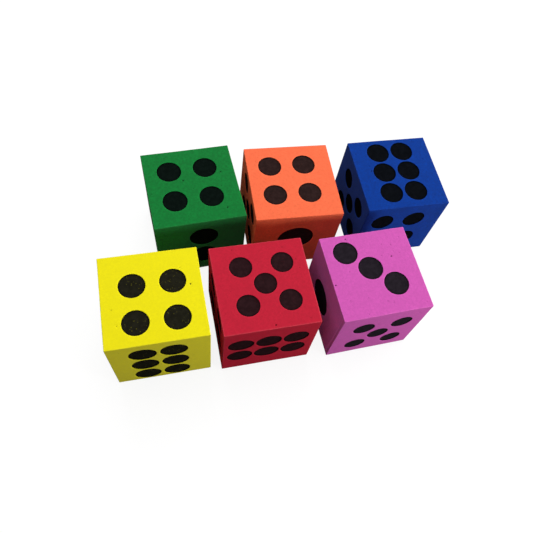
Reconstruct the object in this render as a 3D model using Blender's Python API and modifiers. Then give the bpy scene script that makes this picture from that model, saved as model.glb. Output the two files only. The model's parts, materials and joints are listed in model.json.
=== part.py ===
"""Six giant yard dice: solid foam cubes with printed pips, standing in two rows.

Every die is one sawn block of closed-cell foam. Its pips are printed on and
pressed in a little. Opposite faces add up to seven, and 1, 2 and 3 run
clockwise around the corner that they share. The prints sit a few millimetres
off centre, differently on each face.

The origin is on the ground under the middle of the set. +X runs along the
rows, and +Z is up. A die's own origin is the middle of the bottom edge that it
is rolled over, or the middle of its base if the others are placed from it.
"""

import math
from collections import namedtuple

import bmesh
import bpy
from mathutils import Matrix, Vector

MM = 0.001

# The foam block
EDGE = 76.2 * MM
HALF = EDGE / 2
EDGE_RADIUS = 1.2 * MM
EDGE_SEGMENTS = 3

# The pips: the diameter depends on how many share the face
PIP_DIAMETER = {1: 32 * MM, 2: 24 * MM, 3: 20.5 * MM, 4: 20 * MM, 5: 18 * MM, 6: 20.5 * MM}
PIP_DEPTH = 0.6 * MM
PIP_SIDES = 16

# Distances between pip centres
TWO_PITCH = 29 * MM
THREE_PITCH = 17 * MM
FOUR_PITCH = 30.5 * MM
FIVE_PITCH = 33.5 * MM
SIX_PITCH_ACROSS = 23.3 * MM
SIX_PITCH_UP = 22.4 * MM

# What each face of a cube is called: its rightward, upward and outward directions
FACE_AXES = {
    "top": ((1, 0, 0), (0, 1, 0), (0, 0, 1)),
    "bottom": ((1, 0, 0), (0, -1, 0), (0, 0, -1)),
    "front": ((1, 0, 0), (0, 0, 1), (0, -1, 0)),
    "back": ((-1, 0, 0), (0, 0, 1), (0, 1, 0)),
    "left": ((0, -1, 0), (0, 0, 1), (-1, 0, 0)),
    "right": ((0, 1, 0), (0, 0, 1), (1, 0, 0)),
}

# Where a die's middle is, seen from the edge that it is rolled over
MIDDLE_FROM_ORIGIN = {
    "backward": (0, -HALF, HALF),
    "forward": (0, HALF, HALF),
    "stays": (0, 0, HALF),
}

# spot is the middle of the base, in millimetres. turn is in degrees.
# Each print is (count, quarter turned, millimetres to the right, millimetres up).
Die = namedtuple("Die", "name colour spot turn roll prints")
DICE = (
    Die("green_die", (28, 128, 60), (-70.5, 51.5), 2.75, "backward", {
        "top": (4, False, -1.8, 1.5), "bottom": (3, True, 1.5, -1.0),
        "front": (2, False, 2.0, 1.0), "back": (5, False, -1.0, 2.0),
        "left": (1, False, 0.5, -2.0), "right": (6, False, 1.0, -1.5)}),
    Die("orange_die", (255, 115, 75), (15.5, 46), -2.25, "backward", {
        "top": (4, False, -2.5, 1.8), "bottom": (3, False, -1.0, 2.0),
        "front": (1, False, 0.0, 4.5), "back": (6, True, 1.5, 0.5),
        "left": (5, False, 4.0, 5.0), "right": (2, True, -1.5, -1.0)}),
    Die("blue_die", (20, 62, 155), (113.5, 44), -0.5, "backward", {
        "top": (6, False, -0.6, 1.2), "bottom": (1, False, 2.0, 1.0),
        "front": (4, False, -4.5, 1.5), "back": (3, False, 1.0, -2.5),
        "left": (5, False, 2.7, -0.5), "right": (2, False, -2.0, 2.0)}),
    Die("yellow_die", (240, 230, 20), (-114, -46.5), 0, "forward", {
        "top": (4, False, 1.0, -4.4), "bottom": (3, False, 2.0, 1.0),
        "front": (6, False, -1.4, -3.4), "back": (1, False, 2.5, 1.0),
        "left": (2, False, -1.0, 2.0), "right": (5, False, 1.5, -2.0)}),
    Die("red_die", (198, 38, 58), (-29, -49.5), 0, "stays", {
        "top": (5, False, 1.2, 0.9), "bottom": (2, True, -2.0, 1.5),
        "front": (6, True, -1.5, 1.4), "back": (1, False, -1.5, -2.0),
        "left": (4, False, 2.5, 6.5), "right": (3, True, 2.0, 1.5)}),
    Die("pink_die", (215, 95, 185), (63, -52), 1.5, "forward", {
        "top": (3, False, -2.8, 4.2), "bottom": (4, False, 1.0, 2.0),
        "front": (5, False, 1.2, -2.7), "back": (2, False, -1.5, 1.0),
        "left": (1, False, -4.0, -4.0), "right": (6, False, 2.0, 1.0)}),
)


def clear_scene():
    for obj in list(bpy.data.objects):
        bpy.data.objects.remove(obj)


def new_collection(name):
    collection = bpy.data.collections.new(name)
    bpy.context.scene.collection.children.link(collection)
    return collection


def linear(channel):
    """One 0-255 screen colour channel as linear light."""
    value = channel / 255
    return value / 12.92 if value <= 0.04045 else ((value + 0.055) / 1.055) ** 2.4


def foam_material(name, colour):
    """Matt closed-cell foam in one colour."""
    material = bpy.data.materials.new(name)
    material.use_nodes = True
    shader = material.node_tree.nodes["Principled BSDF"]
    rgba = (*map(linear, colour), 1.0)
    shader.inputs["Base Color"].default_value = rgba
    shader.inputs["Roughness"].default_value = 0.85
    shader.inputs["Metallic"].default_value = 0.0
    material.diffuse_color = rgba
    return material


def half_width(turn):
    """Half of a turned die's width along X or Y, at its rounded upright edges."""
    angle = abs(math.radians(turn))
    return (HALF - EDGE_RADIUS) * (math.cos(angle) + math.sin(angle)) + EDGE_RADIUS


def group_middle():
    """The middle of the ground that the whole set covers."""
    middle = []
    for axis in (0, 1):
        low = min(die.spot[axis] * MM - half_width(die.turn) for die in DICE)
        high = max(die.spot[axis] * MM + half_width(die.turn) for die in DICE)
        middle.append((low + high) / 2)
    return Vector((*middle, 0))


def grid(columns, rows, pitch_across, pitch_up):
    """Points of a centred grid, as (across, up)."""
    return [((column - (columns - 1) / 2) * pitch_across, (row - (rows - 1) / 2) * pitch_up)
            for column in range(columns) for row in range(rows)]


def pip_centres(count):
    """Pip centres of a face that isn't quarter turned, as (across, up) from its middle."""
    middle = [(0, 0)]
    return {
        1: middle,
        2: grid(1, 2, 0, TWO_PITCH),
        3: [(-THREE_PITCH, THREE_PITCH)] + middle + [(THREE_PITCH, -THREE_PITCH)],
        4: grid(2, 2, FOUR_PITCH, FOUR_PITCH),
        5: grid(2, 2, FIVE_PITCH, FIVE_PITCH) + middle,
        6: grid(2, 3, SIX_PITCH_ACROSS, SIX_PITCH_UP),
    }[count]


def face_matrix(face, middle):
    """Takes (across, up, outward) on a face to the die's own coordinates."""
    across, up, outward = map(Vector, FACE_AXES[face])
    turn = Matrix((across, up, outward)).transposed().to_4x4()
    return Matrix.Translation(middle + outward * HALF) @ turn


def add_pip_cutters(bm, print_on_face, matrix):
    """Short cylinders that press one face's pips in by PIP_DEPTH."""
    count, quarter_turned, right_mm, up_mm = print_on_face
    radius = PIP_DIAMETER[count] / 2
    depth = 4 * PIP_DEPTH
    for across, up in pip_centres(count):
        if quarter_turned:
            across, up = up, -across
        place = Vector((across + right_mm * MM, up + up_mm * MM, depth / 2 - PIP_DEPTH))
        bmesh.ops.create_cone(bm, cap_ends=True, segments=PIP_SIDES, radius1=radius,
                              radius2=radius, depth=depth,
                              matrix=matrix @ Matrix.Translation(place))


def object_from_bmesh(name, bm, collection):
    mesh = bpy.data.meshes.new(name)
    bm.to_mesh(mesh)
    bm.free()
    obj = bpy.data.objects.new(name, mesh)
    collection.objects.link(obj)
    return obj


def build_cutter(die, middle, collection):
    bm = bmesh.new()
    for face, print_on_face in die.prints.items():
        add_pip_cutters(bm, print_on_face, face_matrix(face, middle))
    cutter = object_from_bmesh(die.name + "_pip_cutter", bm, collection)
    cutter.hide_render = True
    cutter.display_type = 'WIRE'
    return cutter


def build_die(die, set_middle, parts, cutters):
    """A rounded cube with its pips pressed in, standing on its spot."""
    middle = Vector(MIDDLE_FROM_ORIGIN[die.roll])
    bm = bmesh.new()
    bmesh.ops.create_cube(bm, size=EDGE, matrix=Matrix.Translation(middle))
    block = object_from_bmesh(die.name, bm, parts)
    block.data.materials.append(foam_material(die.name + "_foam", die.colour))

    rounding = block.modifiers.new("rounded_edges", 'BEVEL')
    rounding.width = EDGE_RADIUS
    rounding.segments = EDGE_SEGMENTS
    rounding.limit_method = 'ANGLE'

    cutter = build_cutter(die, middle, cutters)
    cutter.parent = block
    pips = block.modifiers.new("pressed_pips", 'BOOLEAN')
    pips.operation = 'DIFFERENCE'
    pips.solver = 'EXACT'
    pips.object = cutter

    turn = Matrix.Rotation(math.radians(die.turn), 4, 'Z')
    base_middle = Vector((die.spot[0] * MM, die.spot[1] * MM, 0)) - set_middle
    origin_from_base = turn @ Vector((-middle.x, -middle.y, 0))
    block.location = base_middle + origin_from_base
    block.rotation_euler.z = math.radians(die.turn)
    return block


def main():
    clear_scene()
    parts = new_collection("yard_dice")
    cutters = new_collection("yard_dice_cutters")
    set_middle = group_middle()
    for die in DICE:
        build_die(die, set_middle, parts, cutters)


main()
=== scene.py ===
"""Looks of the six giant yard dice: sawn foam blocks with pressed, printed pips.

Each die's CAD solid gives its place, its turn and its pips. A finer block stands
for it here, with rounded edges, pips with soft shoulders, open pits and the
slight waviness of a saw cut, in foam and ink materials made of nodes. Lengths
are in metres unless a name or a comment says millimetres.
"""

import json
import math
import random
from collections import namedtuple

import bmesh
import bpy
from mathutils import Matrix, Vector, geometry, noise


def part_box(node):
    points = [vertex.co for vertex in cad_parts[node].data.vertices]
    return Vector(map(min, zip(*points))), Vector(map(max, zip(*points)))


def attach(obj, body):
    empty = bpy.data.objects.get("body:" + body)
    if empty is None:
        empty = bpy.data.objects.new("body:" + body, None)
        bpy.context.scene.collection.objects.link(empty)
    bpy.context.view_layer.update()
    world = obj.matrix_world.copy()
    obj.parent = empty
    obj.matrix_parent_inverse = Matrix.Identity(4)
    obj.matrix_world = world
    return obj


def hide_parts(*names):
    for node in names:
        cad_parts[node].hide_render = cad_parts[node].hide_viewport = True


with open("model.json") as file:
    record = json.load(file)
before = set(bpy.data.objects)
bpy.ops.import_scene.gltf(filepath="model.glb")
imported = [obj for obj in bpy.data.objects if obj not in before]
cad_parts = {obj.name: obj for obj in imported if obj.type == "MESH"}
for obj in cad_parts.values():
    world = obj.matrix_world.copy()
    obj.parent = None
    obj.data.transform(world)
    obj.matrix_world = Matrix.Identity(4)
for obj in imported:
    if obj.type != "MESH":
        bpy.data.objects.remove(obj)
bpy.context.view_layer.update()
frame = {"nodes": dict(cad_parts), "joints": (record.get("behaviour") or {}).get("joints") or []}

MM = 0.001

# How each die looks. foam and ink are screen colours, 0-255. mottle is how strongly the
# foam is mottled, the column after it how strong a highlight painted along its edges is,
# and haze how dusty it looks at a slant. pits is how many small open pits a side has, and
# pinholes how far the ink's pinholes are open, as a share of their spacing.
Look = namedtuple("Look", "foam ink mottle scuff haze pits pinholes")
LOOKS = {
    "green": Look((12, 116, 48), (11, 19, 16), 1.2, 0.3, 0.06, 7, 0.14),
    "orange": Look((247, 111, 73), (44, 30, 29), 0.7, 0.0, 0.0, 2, 0.16),
    "blue": Look((4, 54, 142), (12, 14, 18), 1.25, 0.1, 0.03, 7, 0.12),
    "yellow": Look((235, 223, 12), (31, 30, 22), 0.25, 0.3, 0.07, 3, 0.28),
    "red": Look((188, 34, 55), (41, 23, 26), 0.6, 0.9, 0.0, 8, 0.18),
    "pink": Look((202, 86, 173), (35, 30, 36), 0.5, 0.8, 0.06, 14, 0.13),
}

# The block's rounded edges, and grid lines that keep the sides flat right up to them
EDGE_RADIUS = 0.7 * MM
EDGE_STEPS = 3
EDGE_SUPPORTS = (0.15 * MM, 0.5 * MM)
# How wide the highlight painted along the block's edges and along the crease's far rim is
EDGE_HIGHLIGHT_WIDTH = 1.2 * MM

# The grid of points on a side, and how far it keeps from rims and pits, in pitches
GRID_PITCH = 1.3 * MM
GRID_CLEARANCE = 0.45

# A pressed pip: the slope from the side to its floor, how far the ink spreads and the
# rings of points along the slope, all measured from its rim
SLOPE_OUTSIDE = 0.5 * MM
SLOPE_INSIDE = 0.4 * MM
INK_OUTSIDE = 0.2 * MM
RIM_RINGS = [offset * MM for offset in (0.85, 0.5, 0.2, -0.15, -0.5)]
RIM_SEGMENTS = 72
# How far from a pip's rim the highlight painted on the foam and the shade painted on the ink
# reach
RIM_REACH = 1.2 * MM

# A recess in the CAD solid counts as a pip if its floor lies this deep
PIP_FLOOR_DEPTHS = (0.1 * MM, 3 * MM)

# Points nearer than this are one point: in the CAD solid, and where two sides meet
CAD_WELD = 0.01 * MM
SIDE_WELD = 0.002 * MM

# Open pits in the foam between the pips, with shade painted inside them. Their depth and
# their inner ring are shares of their radius.
PIT_RADIUS = (0.2 * MM, 0.4 * MM)
PIT_DEPTH = 0.8
PIT_INNER_RING = 0.55
PIT_SEGMENTS = 8
BIG_PIT_RADIUS = 0.85 * MM
EDGE_MARGIN = 3.0 * MM
PIT_TO_PIP = 2 * MM
PIT_TO_PIT = 4 * MM

# The big pits on the tops, in millimetres to the right and up from the middle
BIG_PITS = {
    "green": [(-7, 6), (26, 10), (24, -27)],
    "blue": [(-24, 4)],
    "yellow": [(29, 6)],
    "red": [(2, -35)],
    "pink": [(-16, 34), (18, 12), (-36, -6)],
}

# A crease that the saw pressed into one side, beside its right-hand edge: how far its
# near rim, its bottom, its far rim and its lines of points are from that edge. It fades
# out at its ends, loses this share of its strength at the top, and has shade painted in
# it as a share of the shade painted in a pit; its far rim gets a painted highlight.
CREASED = {"pink": "left"}
CREASE = (0.8 * MM, 1.8 * MM, 3.4 * MM)
CREASE_DEPTH = 0.5 * MM
CREASE_LINES = [offset * MM for offset in (0.9, 1.35, 1.8, 2.3, 2.8, 3.4, 4.0)]
CREASE_FADE = 3 * MM
CREASE_LOSS = 0.5
CREASE_PAINTED_SHADE = 0.14

# How far the sawn surface falls short of a true cube: on the whole, and in slow and
# quick waves of these heights and lengths
SAW_SHORT_MM = 0.13
SLOW_WAVE_MM, SLOW_WAVE_LENGTH = 0.07, 26 * MM
QUICK_WAVE_MM, QUICK_WAVE_LENGTH = 0.03, 5 * MM

# Sizes in the foam and the ink, in millimetres
CELL_MM = 0.42
FINE_GRAIN_MM = 0.9
MOTTLE_MM = 2.1
FRECKLE_MM = 2.3
FRECKLE_PATCH_MM = 5.5
BLOTCH_MM = 8
PINHOLE_MM = 1.7
PINHOLE_PATCH_MM = 5
INK_CLOUD_MM = 3.2

# How bright the floor and the world look without any light on them, the floor's own
# grey, the grey that it throws back onto the dice, and the world's light on the dice
SHOWN_WHITE = 0.87
FLOOR_GREY = 0.16
FLOOR_RETURN = 0.22
WORLD_LIGHT = 0.03

# Lamps: name, place, what it points at, size across and watts
LAMPS = (
    ("overhead", (-0.1, 0.1, 1.2), (0, 0, 0), 1.6, 12.6),
    ("back", (0, 0.9, 0.9), (0, 0, 0), 0.8, 5.9),
    ("right", (0.9, 0.1, 0.4), (0, 0, 0), 0.5, 3.5),
    ("front_right", (0.5, -0.45, 0.14), (0, 0, 0.05), 0.26, 2.75),
)

CAMERA_PLACE = Vector((-0.0987, -0.2267, 0.444))
CAMERA_TARGET = Vector((0.0058, -0.0184, 0))
CAMERA_ROLL = math.radians(16)

# Each side's rightward, upward and outward directions, seen from outside
SIDES = {
    "top": ((1, 0, 0), (0, 1, 0), (0, 0, 1)),
    "bottom": ((1, 0, 0), (0, -1, 0), (0, 0, -1)),
    "front": ((1, 0, 0), (0, 0, 1), (0, -1, 0)),
    "back": ((-1, 0, 0), (0, 0, 1), (0, 1, 0)),
    "left": ((0, -1, 0), (0, 0, 1), (-1, 0, 0)),
    "right": ((0, 1, 0), (0, 0, 1), (1, 0, 0)),
}


def smooth(low, high, value):
    """0 below low, 1 above high, and a smooth rise between them."""
    share = min(max((value - low) / (high - low), 0.0), 1.0)
    return share * share * (3 - 2 * share)


# ---------------------------------------------------------------- the CAD dice

def die_turn(node):
    """How far the die is turned about Z: its roll axis runs along its own X."""
    for joint in frame["joints"]:
        if joint["child"] == node:
            x, y, _ = joint["axis"]
            return math.atan(y / x)
    return 0.0


def read_cad_die(node):
    """The die's half edge, its middle with its turn, and its pips by side."""
    low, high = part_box(node)
    half = (high.z - low.z) / 2
    place = Matrix.Translation((low + high) / 2) @ Matrix.Rotation(die_turn(node), 4, 'Z')
    bm = bmesh.new()
    bm.from_mesh(frame["nodes"][node].data)
    bmesh.ops.transform(bm, matrix=place.inverted(), verts=bm.verts)
    bmesh.ops.remove_doubles(bm, verts=bm.verts, dist=CAD_WELD)
    bm.verts.index_update()
    pips = {side: read_pips(bm, side, half) for side in SIDES}
    bm.free()
    return half, place, pips


def read_pips(bm, side, half):
    """(right, up, radius, depth) of each recess whose floor faces this side."""
    right, up, out = map(Vector, SIDES[side])
    least, most = PIP_FLOOR_DEPTHS
    floors = {f for f in bm.faces if f.normal.dot(out) > 0.999
              and least < half - f.calc_center_median().dot(out) < most}
    pips = []
    while floors:
        island, border = set(), [floors.pop()]
        while border:
            face = border.pop()
            island.add(face)
            near = {f for edge in face.edges for f in edge.link_faces} & floors
            floors -= near
            border.extend(near)
        corners = sorted({v for face in island for v in face.verts}, key=lambda v: v.index)
        middle = sum((v.co for v in corners), Vector()) / len(corners)
        radius = max((v.co - middle).length for v in corners)
        pips.append((middle.dot(right), middle.dot(up), radius, half - middle.dot(out)))
    return sorted(pips)


# ------------------------------------------------------------- the finer block

def clear_of(x, y, circles):
    return all(math.hypot(x - cx, y - cy) > radius for cx, cy, radius in circles)


def pick_pits(side, pips, half, big_pits, count, dice_random):
    """Places for open pits, clear of the pips, of the edges and of each other."""
    reach = half - EDGE_MARGIN
    taken = [(x, y, radius + PIT_TO_PIP) for x, y, radius, _ in pips]
    pits = []
    for x, y in big_pits if side == "top" else ():
        pits.append((x * MM, y * MM, BIG_PIT_RADIUS))
    while len(pits) < count:
        x, y = dice_random.uniform(-reach, reach), dice_random.uniform(-reach, reach)
        if clear_of(x, y, taken + [(px, py, PIT_TO_PIT) for px, py, _ in pits]):
            pits.append((x, y, dice_random.uniform(*PIT_RADIUS)))
    return pits


def ring(x, y, radius, segments):
    turns = [2 * math.pi * step / segments for step in range(segments)]
    return [(x + radius * math.cos(turn), y + radius * math.sin(turn)) for turn in turns]


def tick_positions(half):
    """Grid lines across a side, close together where the edges are rounded."""
    flat = half - EDGE_RADIUS
    count = round(2 * flat / GRID_PITCH)
    inner = [flat * (2 * step / count - 1) for step in range(1, count)]
    inner = [tick for tick in inner if abs(tick) < flat - EDGE_SUPPORTS[-1]]
    angles = [math.pi / 4 * step / EDGE_STEPS for step in range(1, EDGE_STEPS + 1)]
    outer = [flat - support for support in reversed(EDGE_SUPPORTS)] + [flat]
    outer += [flat + EDGE_RADIUS * math.tan(angle) for angle in angles]
    return [-tick for tick in reversed(outer)] + inner + outer


def side_triangles(half, pips, pits, creased):
    """Flat points and triangles of one side, with exact rings around pips and pits."""
    points, loops = [], []

    def add_loop(x, y, radius, segments):
        start = len(points)
        points.extend(ring(x, y, radius, segments))
        loops.extend((start + k, start + (k + 1) % segments) for k in range(segments))

    for x, y, radius, _ in pips:
        for offset in RIM_RINGS:
            add_loop(x, y, radius + offset, RIM_SEGMENTS)
    for x, y, radius in pits:
        add_loop(x, y, radius, PIT_SEGMENTS)
        add_loop(x, y, radius * PIT_INNER_RING, PIT_SEGMENTS)
        points.append((x, y))

    gap = GRID_PITCH * GRID_CLEARANCE
    outside = RIM_RINGS[0] + gap
    inside = RIM_RINGS[-1] - gap
    ticks = tick_positions(half)
    grid = [(x, y) for x in ticks for y in ticks]
    if creased:
        inner = ticks[EDGE_STEPS:-EDGE_STEPS]
        grid += [(half - offset, y) for offset in CREASE_LINES for y in inner]
    for x, y in grid:
        near_rim = any(inside < math.hypot(x - px, y - py) - radius < outside
                       for px, py, radius, _ in pips)
        near_pit = not clear_of(x, y, [(px, py, radius + gap) for px, py, radius in pits])
        if not near_rim and not near_pit:
            points.append((x, y))

    in_mm = [Vector((x / MM, y / MM)) for x, y in points]
    flat, _, triangles, _, _, _ = geometry.delaunay_2d_cdt(in_mm, loops, [], 0, 1e-6)
    return [(p.x * MM, p.y * MM) for p in flat], triangles


def press_of(x, y, pips):
    """How deep a point is pressed in, and how near it is to a pip's rim, 0 to 1."""
    depth, nearness = 0.0, 0.0
    for px, py, radius, pip_depth in pips:
        past_rim = math.hypot(x - px, y - py) - radius
        depth = max(depth, pip_depth * (1 - smooth(-SLOPE_INSIDE, SLOPE_OUTSIDE, past_rim)))
        nearness = max(nearness, 1 - smooth(0, RIM_REACH, abs(past_rim)))
    return depth, nearness


def pit_of(x, y, pits):
    """How deep a point is in an open pit, and 0 to 1 of the way down."""
    for px, py, radius in pits:
        share = 1 - math.hypot(x - px, y - py) / radius
        if share > 0:
            share = smooth(0, 0.9, share)
            return share * radius * PIT_DEPTH, share
    return 0.0, 0.0


def crease_of(x, y, half):
    """How deep a point is in the crease, and how near its far rim, 0 to 1, where a highlight is
    painted.
    """
    near, bottom, far = CREASE
    from_edge = half - x
    strength = 1 - smooth(half - CREASE_FADE, half - EDGE_RADIUS, abs(y))
    strength *= 1 - CREASE_LOSS * smooth(0, half, y)
    depth = smooth(near, bottom, from_edge) * (1 - smooth(bottom, far, from_edge))
    rim = 1 - smooth(0, EDGE_HIGHLIGHT_WIDTH, abs(from_edge - far))
    return strength * depth, strength * rim


def saw_waves(point, seed):
    """How far the sawn surface falls short of a true cube. Each die has its own waves."""
    shift = Vector((seed * 7.3, seed * 3.1, seed * 5.7))
    slow = noise.noise(point / SLOW_WAVE_LENGTH + shift)
    quick = noise.noise(point / QUICK_WAVE_LENGTH + shift)
    return (SAW_SHORT_MM + SLOW_WAVE_MM * slow + QUICK_WAVE_MM * quick) * MM


def rounded(point, half):
    """A point of a sharp cube moved onto the rounded one, and its outward direction."""
    flat = half - EDGE_RADIUS
    core = Vector([min(max(c, -flat), flat) for c in point])
    out = (point - core).normalized()
    return core + out * EDGE_RADIUS, out


def block_mesh(name, half, pips_by_side, big_pits, pit_count, creased_side, seed):
    """The whole die as one closed mesh: material 0 is foam and material 1 is ink."""
    dice_random = random.Random(seed)
    bm = bmesh.new()
    layers = {key: bm.verts.layers.float.new(key) for key in ("rim", "pit", "edge")}
    for side, axes in SIDES.items():
        right, up, out = map(Vector, axes)
        pips = pips_by_side[side]
        pits = pick_pits(side, pips, half, big_pits, pit_count, dice_random)
        flat, triangles = side_triangles(half, pips, pits, side == creased_side)
        corners = []
        for x, y in flat:
            press, rim = press_of(x, y, pips)
            pit_depth, pit = pit_of(x, y, pits)
            surface, normal = rounded(right * x + up * y + out * half, half)
            crease, far_rim_highlight = crease_of(x, y, half) if side == creased_side else (0.0, 0.0)
            sunk = press + pit_depth + crease * CREASE_DEPTH + saw_waves(surface, seed)
            vert = bm.verts.new(surface - normal * sunk)
            # The rim layer marks where a highlight is painted round each pip on the foam, and
            # shade on its ink
            vert[layers["rim"]] = rim
            # The pit layer marks where shade is painted: in the open pits and in the crease
            vert[layers["pit"]] = max(pit, CREASE_PAINTED_SHADE * crease)
            # The edge layer marks where a highlight is painted: along the block's edges and on
            # the crease's far rim
            edge = 1 - smooth(0, EDGE_HIGHLIGHT_WIDTH, half - max(abs(x), abs(y)))
            vert[layers["edge"]] = max(edge, far_rim_highlight)
            corners.append(vert)
        for triangle in triangles:
            face = bm.faces.new([corners[k] for k in triangle])
            x = sum(flat[k][0] for k in triangle) / 3
            y = sum(flat[k][1] for k in triangle) / 3
            inked = any(math.hypot(x - px, y - py) < radius + INK_OUTSIDE
                        for px, py, radius, _ in pips)
            face.material_index = 1 if inked else 0
            face.smooth = True
    bmesh.ops.remove_doubles(bm, verts=bm.verts, dist=SIDE_WELD)
    mesh = bpy.data.meshes.new(name)
    bm.to_mesh(mesh)
    bm.free()
    return mesh


# ------------------------------------------------------------------- materials

def linear(colour):
    """Screen colour, 0-255, as linear light."""
    shares = [channel / 255 for channel in colour]
    return tuple(s / 12.92 if s <= 0.04045 else ((s + 0.055) / 1.055) ** 2.4 for s in shares)


class Nodes:
    """Short calls for a material's nodes and links."""

    def __init__(self, name):
        self.material = bpy.data.materials.new(name)
        self.material.use_nodes = True
        self.tree = self.material.node_tree
        self.shader = self.tree.nodes["Principled BSDF"]

    def put(self, socket, value):
        """Links value to a socket if it is an output, or sets it there."""
        if isinstance(value, bpy.types.NodeSocket):
            self.tree.links.new(value, socket)
        else:
            socket.default_value = value

    def add(self, kind, inputs=(), **settings):
        node = self.tree.nodes.new(kind)
        for key, value in settings.items():
            setattr(node, key, value)
        for key, value in dict(inputs).items():
            self.put(node.inputs[key], value)
        return node

    def math(self, operation, first, second):
        node = self.add("ShaderNodeMath", operation=operation)
        self.put(node.inputs[0], first)
        self.put(node.inputs[1], second)
        return node.outputs[0]

    def remap(self, value, low, high, to_low, to_high):
        """value from low..high to to_low..to_high, smoothly and held at the ends."""
        node = self.add("ShaderNodeMapRange", interpolation_type='SMOOTHSTEP')
        for socket, number in zip(node.inputs, (value, low, high, to_low, to_high)):
            self.put(socket, number)
        return node.outputs[0]

    def mix(self, factor, first, second):
        """A colour between two. Inputs 6 and 7 of the node are its colours."""
        node = self.add("ShaderNodeMix", data_type='RGBA')
        self.put(node.inputs[0], factor)
        self.put(node.inputs[6], first)
        self.put(node.inputs[7], second)
        return node.outputs[2]

    def place_in_mm(self, seed):
        """The piece's own coordinates in millimetres, shifted for each die."""
        own = self.add("ShaderNodeTexCoord").outputs["Object"]
        mapping = self.add("ShaderNodeMapping", {
            "Vector": own, "Scale": (1000, 1000, 1000), "Location": (seed * 131, seed * 57, 0)})
        return mapping.outputs[0]

    def noise(self, where, size_mm, detail=2.0, roughness=0.5, distortion=0.0):
        node = self.add("ShaderNodeTexNoise", {
            "Vector": where, "Scale": 1 / size_mm, "Detail": detail,
            "Roughness": roughness, "Distortion": distortion})
        return node.outputs["Fac"]

    def cells(self, where, size_mm, feature='F1'):
        node = self.add("ShaderNodeTexVoronoi", {"Vector": where, "Scale": 1 / size_mm},
                        feature=feature)
        return node.outputs["Distance"]

    def attribute(self, name):
        return self.add("ShaderNodeAttribute", attribute_name=name).outputs["Fac"]

    def bump(self, height, distance_mm, strength, normal=None):
        node = self.add("ShaderNodeBump", {
            "Height": height, "Distance": distance_mm * MM, "Strength": strength})
        if normal:
            self.put(node.inputs["Normal"], normal)
        return node.outputs[0]


def shade(colour, factor):
    return tuple(min(channel * factor, 1.0) for channel in colour) + (1.0,)


def foam_material(name, look, seed):
    """Matt closed-cell foam as the saw leaves it: fine cells, soft mottling and pits, with shade
    and highlights painted into its cells, pits, crease, edges and pip rims.
    """
    n = Nodes(name)
    base = Vector(linear(look.foam))
    where = n.place_in_mm(seed)

    mottle = n.noise(where, MOTTLE_MM, distortion=0.8)
    blotch = n.noise(where, BLOTCH_MM)
    tone = n.mix(n.remap(mottle, 0.32, 0.68, 0, 1),
                 shade(base, 1 - 0.13 * look.mottle), shade(base, 1 + 0.12 * look.mottle))
    tone = n.mix(n.remap(blotch, 0.3, 0.7, 0, 0.4), tone, shade(base, 1 - 0.15 * look.mottle))

    cell = n.cells(where, CELL_MM)
    wall = n.cells(where, CELL_MM, feature='DISTANCE_TO_EDGE')
    # Cell walls get a painted highlight and cell middles painted shade, on the ridges and
    # hollows of the cell bump below
    tone = n.mix(n.remap(wall, 0.0, 0.12, 0.22, 0), tone, shade(base, 1.18))
    tone = n.mix(n.remap(cell, 0.0, 0.35, 0.16, 0), tone, shade(base, 0.75))

    freckle = n.cells(where, FRECKLE_MM)
    freckle_size = n.noise(where, FRECKLE_PATCH_MM)
    reach = n.remap(freckle_size, 0.45, 0.75, 0.05, 0.26)
    spot = n.math('LESS_THAN', freckle, reach)
    tone = n.mix(n.math('MULTIPLY', spot, 0.25 * look.mottle), tone, shade(base, 0.6))

    # A highlight painted along the block's edges and the crease's far rim, patchy with the
    # mottle
    patchy = n.remap(mottle, 0.3, 0.6, 0.5 * look.scuff, look.scuff)
    scuff = n.math('MULTIPLY', n.attribute("edge"), patchy)
    tone = n.mix(scuff, tone, shade(base + Vector((0.03, 0.03, 0.03)), 1.25))
    # A highlight painted in a ring round each pip, on the foam of its pressed shoulder
    tone = n.mix(n.math('MULTIPLY', n.attribute("rim"), 0.5), tone, shade(base, 1.24))
    # Painted shade in the open pits and in the crease
    tone = n.mix(n.remap(n.attribute("pit"), 0.0, 0.5, 0, 0.92), tone, shade(base, 0.12))
    n.put(n.shader.inputs["Base Color"], tone)

    n.put(n.shader.inputs["Roughness"], n.remap(mottle, 0.3, 0.7, 0.82, 0.95))
    n.shader.inputs["Specular IOR Level"].default_value = 0.06
    n.shader.inputs["Sheen Weight"].default_value = look.haze
    n.shader.inputs["Sheen Roughness"].default_value = 0.6

    fine = n.noise(where, FINE_GRAIN_MM, detail=3, roughness=0.6)
    normal = n.bump(n.math('ADD', mottle, n.math('MULTIPLY', fine, 0.6)), 0.12, 0.55)
    normal = n.bump(n.remap(cell, 0.0, 0.5, 0, 1), 0.07, 0.5, normal)
    n.put(n.shader.inputs["Normal"], normal)
    return n.material


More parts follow.
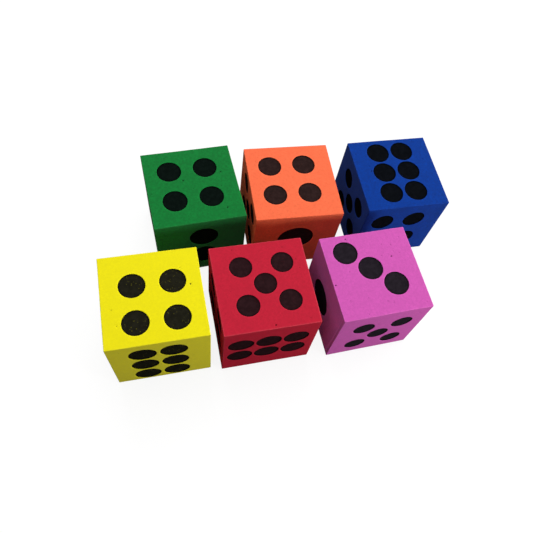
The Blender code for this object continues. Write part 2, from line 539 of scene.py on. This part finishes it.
def ink_material(name, look, seed):
    """Dark ink pressed into the foam, worn thin in clouds and open at pinholes, with shade
    painted near each pip's rim.
    """
    n = Nodes(name)
    foam = Vector(linear(look.foam))
    ink = Vector(linear(look.ink))
    where = n.place_in_mm(seed)

    cloud = n.noise(where, INK_CLOUD_MM, detail=4, roughness=0.6)
    tone = n.mix(n.remap(cloud, 0.35, 0.7, 0, 1), shade(ink, 0.85), shade(ink, 1.25))

    pinhole = n.cells(where, PINHOLE_MM)
    chance = n.noise(where, PINHOLE_PATCH_MM, detail=1)
    reach = n.remap(chance, 0.3, 0.66, 0.0, look.pinholes)
    bare = n.remap(n.math('SUBTRACT', reach, pinhole), 0.0, 0.06, 0, 1)
    tone = n.mix(bare, tone, shade(ink + foam * 0.08, 1.0))

    # Painted shade on the ink near each pip's rim, down its pressed slope
    tone = n.mix(n.math('MULTIPLY', n.attribute("rim"), 0.7), tone, shade(ink, 0.35))
    n.put(n.shader.inputs["Base Color"], tone)

    n.put(n.shader.inputs["Roughness"], n.remap(cloud, 0.3, 0.7, 0.65, 0.8))
    n.shader.inputs["Specular IOR Level"].default_value = 0.0

    cell = n.cells(where, CELL_MM)
    normal = n.bump(cloud, 0.08, 0.4)
    normal = n.bump(n.remap(cell, 0.0, 0.5, 0, 1), 0.04, 0.35, normal)
    n.put(n.shader.inputs["Normal"], normal)
    return n.material


# ------------------------------------------------------------------ the pieces

def build_die(colour_name, look, seed):
    node = colour_name + "_die"
    half, place, pips = read_cad_die(node)
    big_pits = BIG_PITS.get(colour_name, ())
    mesh = block_mesh(node + "_block", half, pips, big_pits, look.pits + len(big_pits),
                      CREASED.get(colour_name), seed)
    mesh.materials.append(foam_material(colour_name + "_sawn_foam", look, seed))
    mesh.materials.append(ink_material(colour_name + "_pip_ink", look, seed))
    block = bpy.data.objects.new(node + "_block", mesh)
    bpy.context.scene.collection.objects.link(block)
    block.matrix_world = place
    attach(block, node)
    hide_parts(node)


# ------------------------------------------------------- floor, light, camera

def build_floor():
    """A white sweep, which throws less light back onto the dice than it shows."""
    bpy.ops.mesh.primitive_plane_add(size=8)
    floor = bpy.context.object
    floor.name = "floor"
    n = Nodes("pale_floor")
    n.shader.inputs["Base Color"].default_value = (*[FLOOR_GREY] * 3, 1)
    n.shader.inputs["Roughness"].default_value = 0.9
    n.shader.inputs["Specular IOR Level"].default_value = 0.1
    n.shader.inputs["Emission Color"].default_value = (1, 1, 1, 1)
    n.shader.inputs["Emission Strength"].default_value = SHOWN_WHITE
    returned = n.add("ShaderNodeBsdfDiffuse", {"Color": (*[FLOOR_RETURN] * 3, 1)})
    seen = n.add("ShaderNodeLightPath").outputs["Is Camera Ray"]
    mix = n.add("ShaderNodeMixShader", {0: seen, 1: returned.outputs[0],
                                        2: n.shader.outputs[0]})
    n.put(n.tree.nodes["Material Output"].inputs["Surface"], mix.outputs[0])
    floor.data.materials.append(n.material)


def build_lamp(name, location, target, size, watts):
    """A soft round lamp that points at target."""
    light = bpy.data.lights.new(name, 'AREA')
    light.shape = 'DISK'
    light.size = size
    light.energy = watts
    obj = bpy.data.objects.new(name, light)
    bpy.context.scene.collection.objects.link(obj)
    obj.location = location
    direction = Vector(target) - Vector(location)
    obj.rotation_euler = direction.to_track_quat('-Z', 'Y').to_euler()


def build_world():
    """A white studio, which shows white but throws little light of its own."""
    world = bpy.data.worlds.new("studio")
    bpy.context.scene.world = world
    world.use_nodes = True
    tree = world.node_tree
    dim = tree.nodes["Background"]
    dim.inputs["Color"].default_value = (1, 1, 1, 1)
    dim.inputs["Strength"].default_value = WORLD_LIGHT
    shown = tree.nodes.new("ShaderNodeBackground")
    shown.inputs["Color"].default_value = (1, 1, 1, 1)
    shown.inputs["Strength"].default_value = SHOWN_WHITE
    seen = tree.nodes.new("ShaderNodeLightPath")
    mix = tree.nodes.new("ShaderNodeMixShader")
    tree.links.new(seen.outputs["Is Camera Ray"], mix.inputs[0])
    tree.links.new(dim.outputs[0], mix.inputs[1])
    tree.links.new(shown.outputs[0], mix.inputs[2])
    tree.links.new(mix.outputs[0], tree.nodes["World Output"].inputs["Surface"])


def build_camera():
    """A close view from above the front left, with the camera tilted a little."""
    camera = bpy.data.cameras.new("camera")
    camera.lens = 35.9
    camera.sensor_width = 36
    camera.shift_x = -0.0375
    camera.shift_y = 0.0375
    camera.clip_start = 0.01
    obj = bpy.data.objects.new("camera", camera)
    bpy.context.scene.collection.objects.link(obj)
    aim = (CAMERA_TARGET - CAMERA_PLACE).to_track_quat('-Z', 'Y').to_matrix().to_4x4()
    roll = Matrix.Rotation(CAMERA_ROLL, 4, 'Z')
    obj.matrix_world = Matrix.Translation(CAMERA_PLACE) @ aim @ roll
    bpy.context.scene.camera = obj


bpy.context.scene.view_settings.view_transform = 'Standard'
build_camera()
build_floor()
for lamp in LAMPS:
    build_lamp(*lamp)
build_world()
for die_number, (colour_name, look) in enumerate(LOOKS.items()):
    build_die(colour_name, look, die_number + 1)
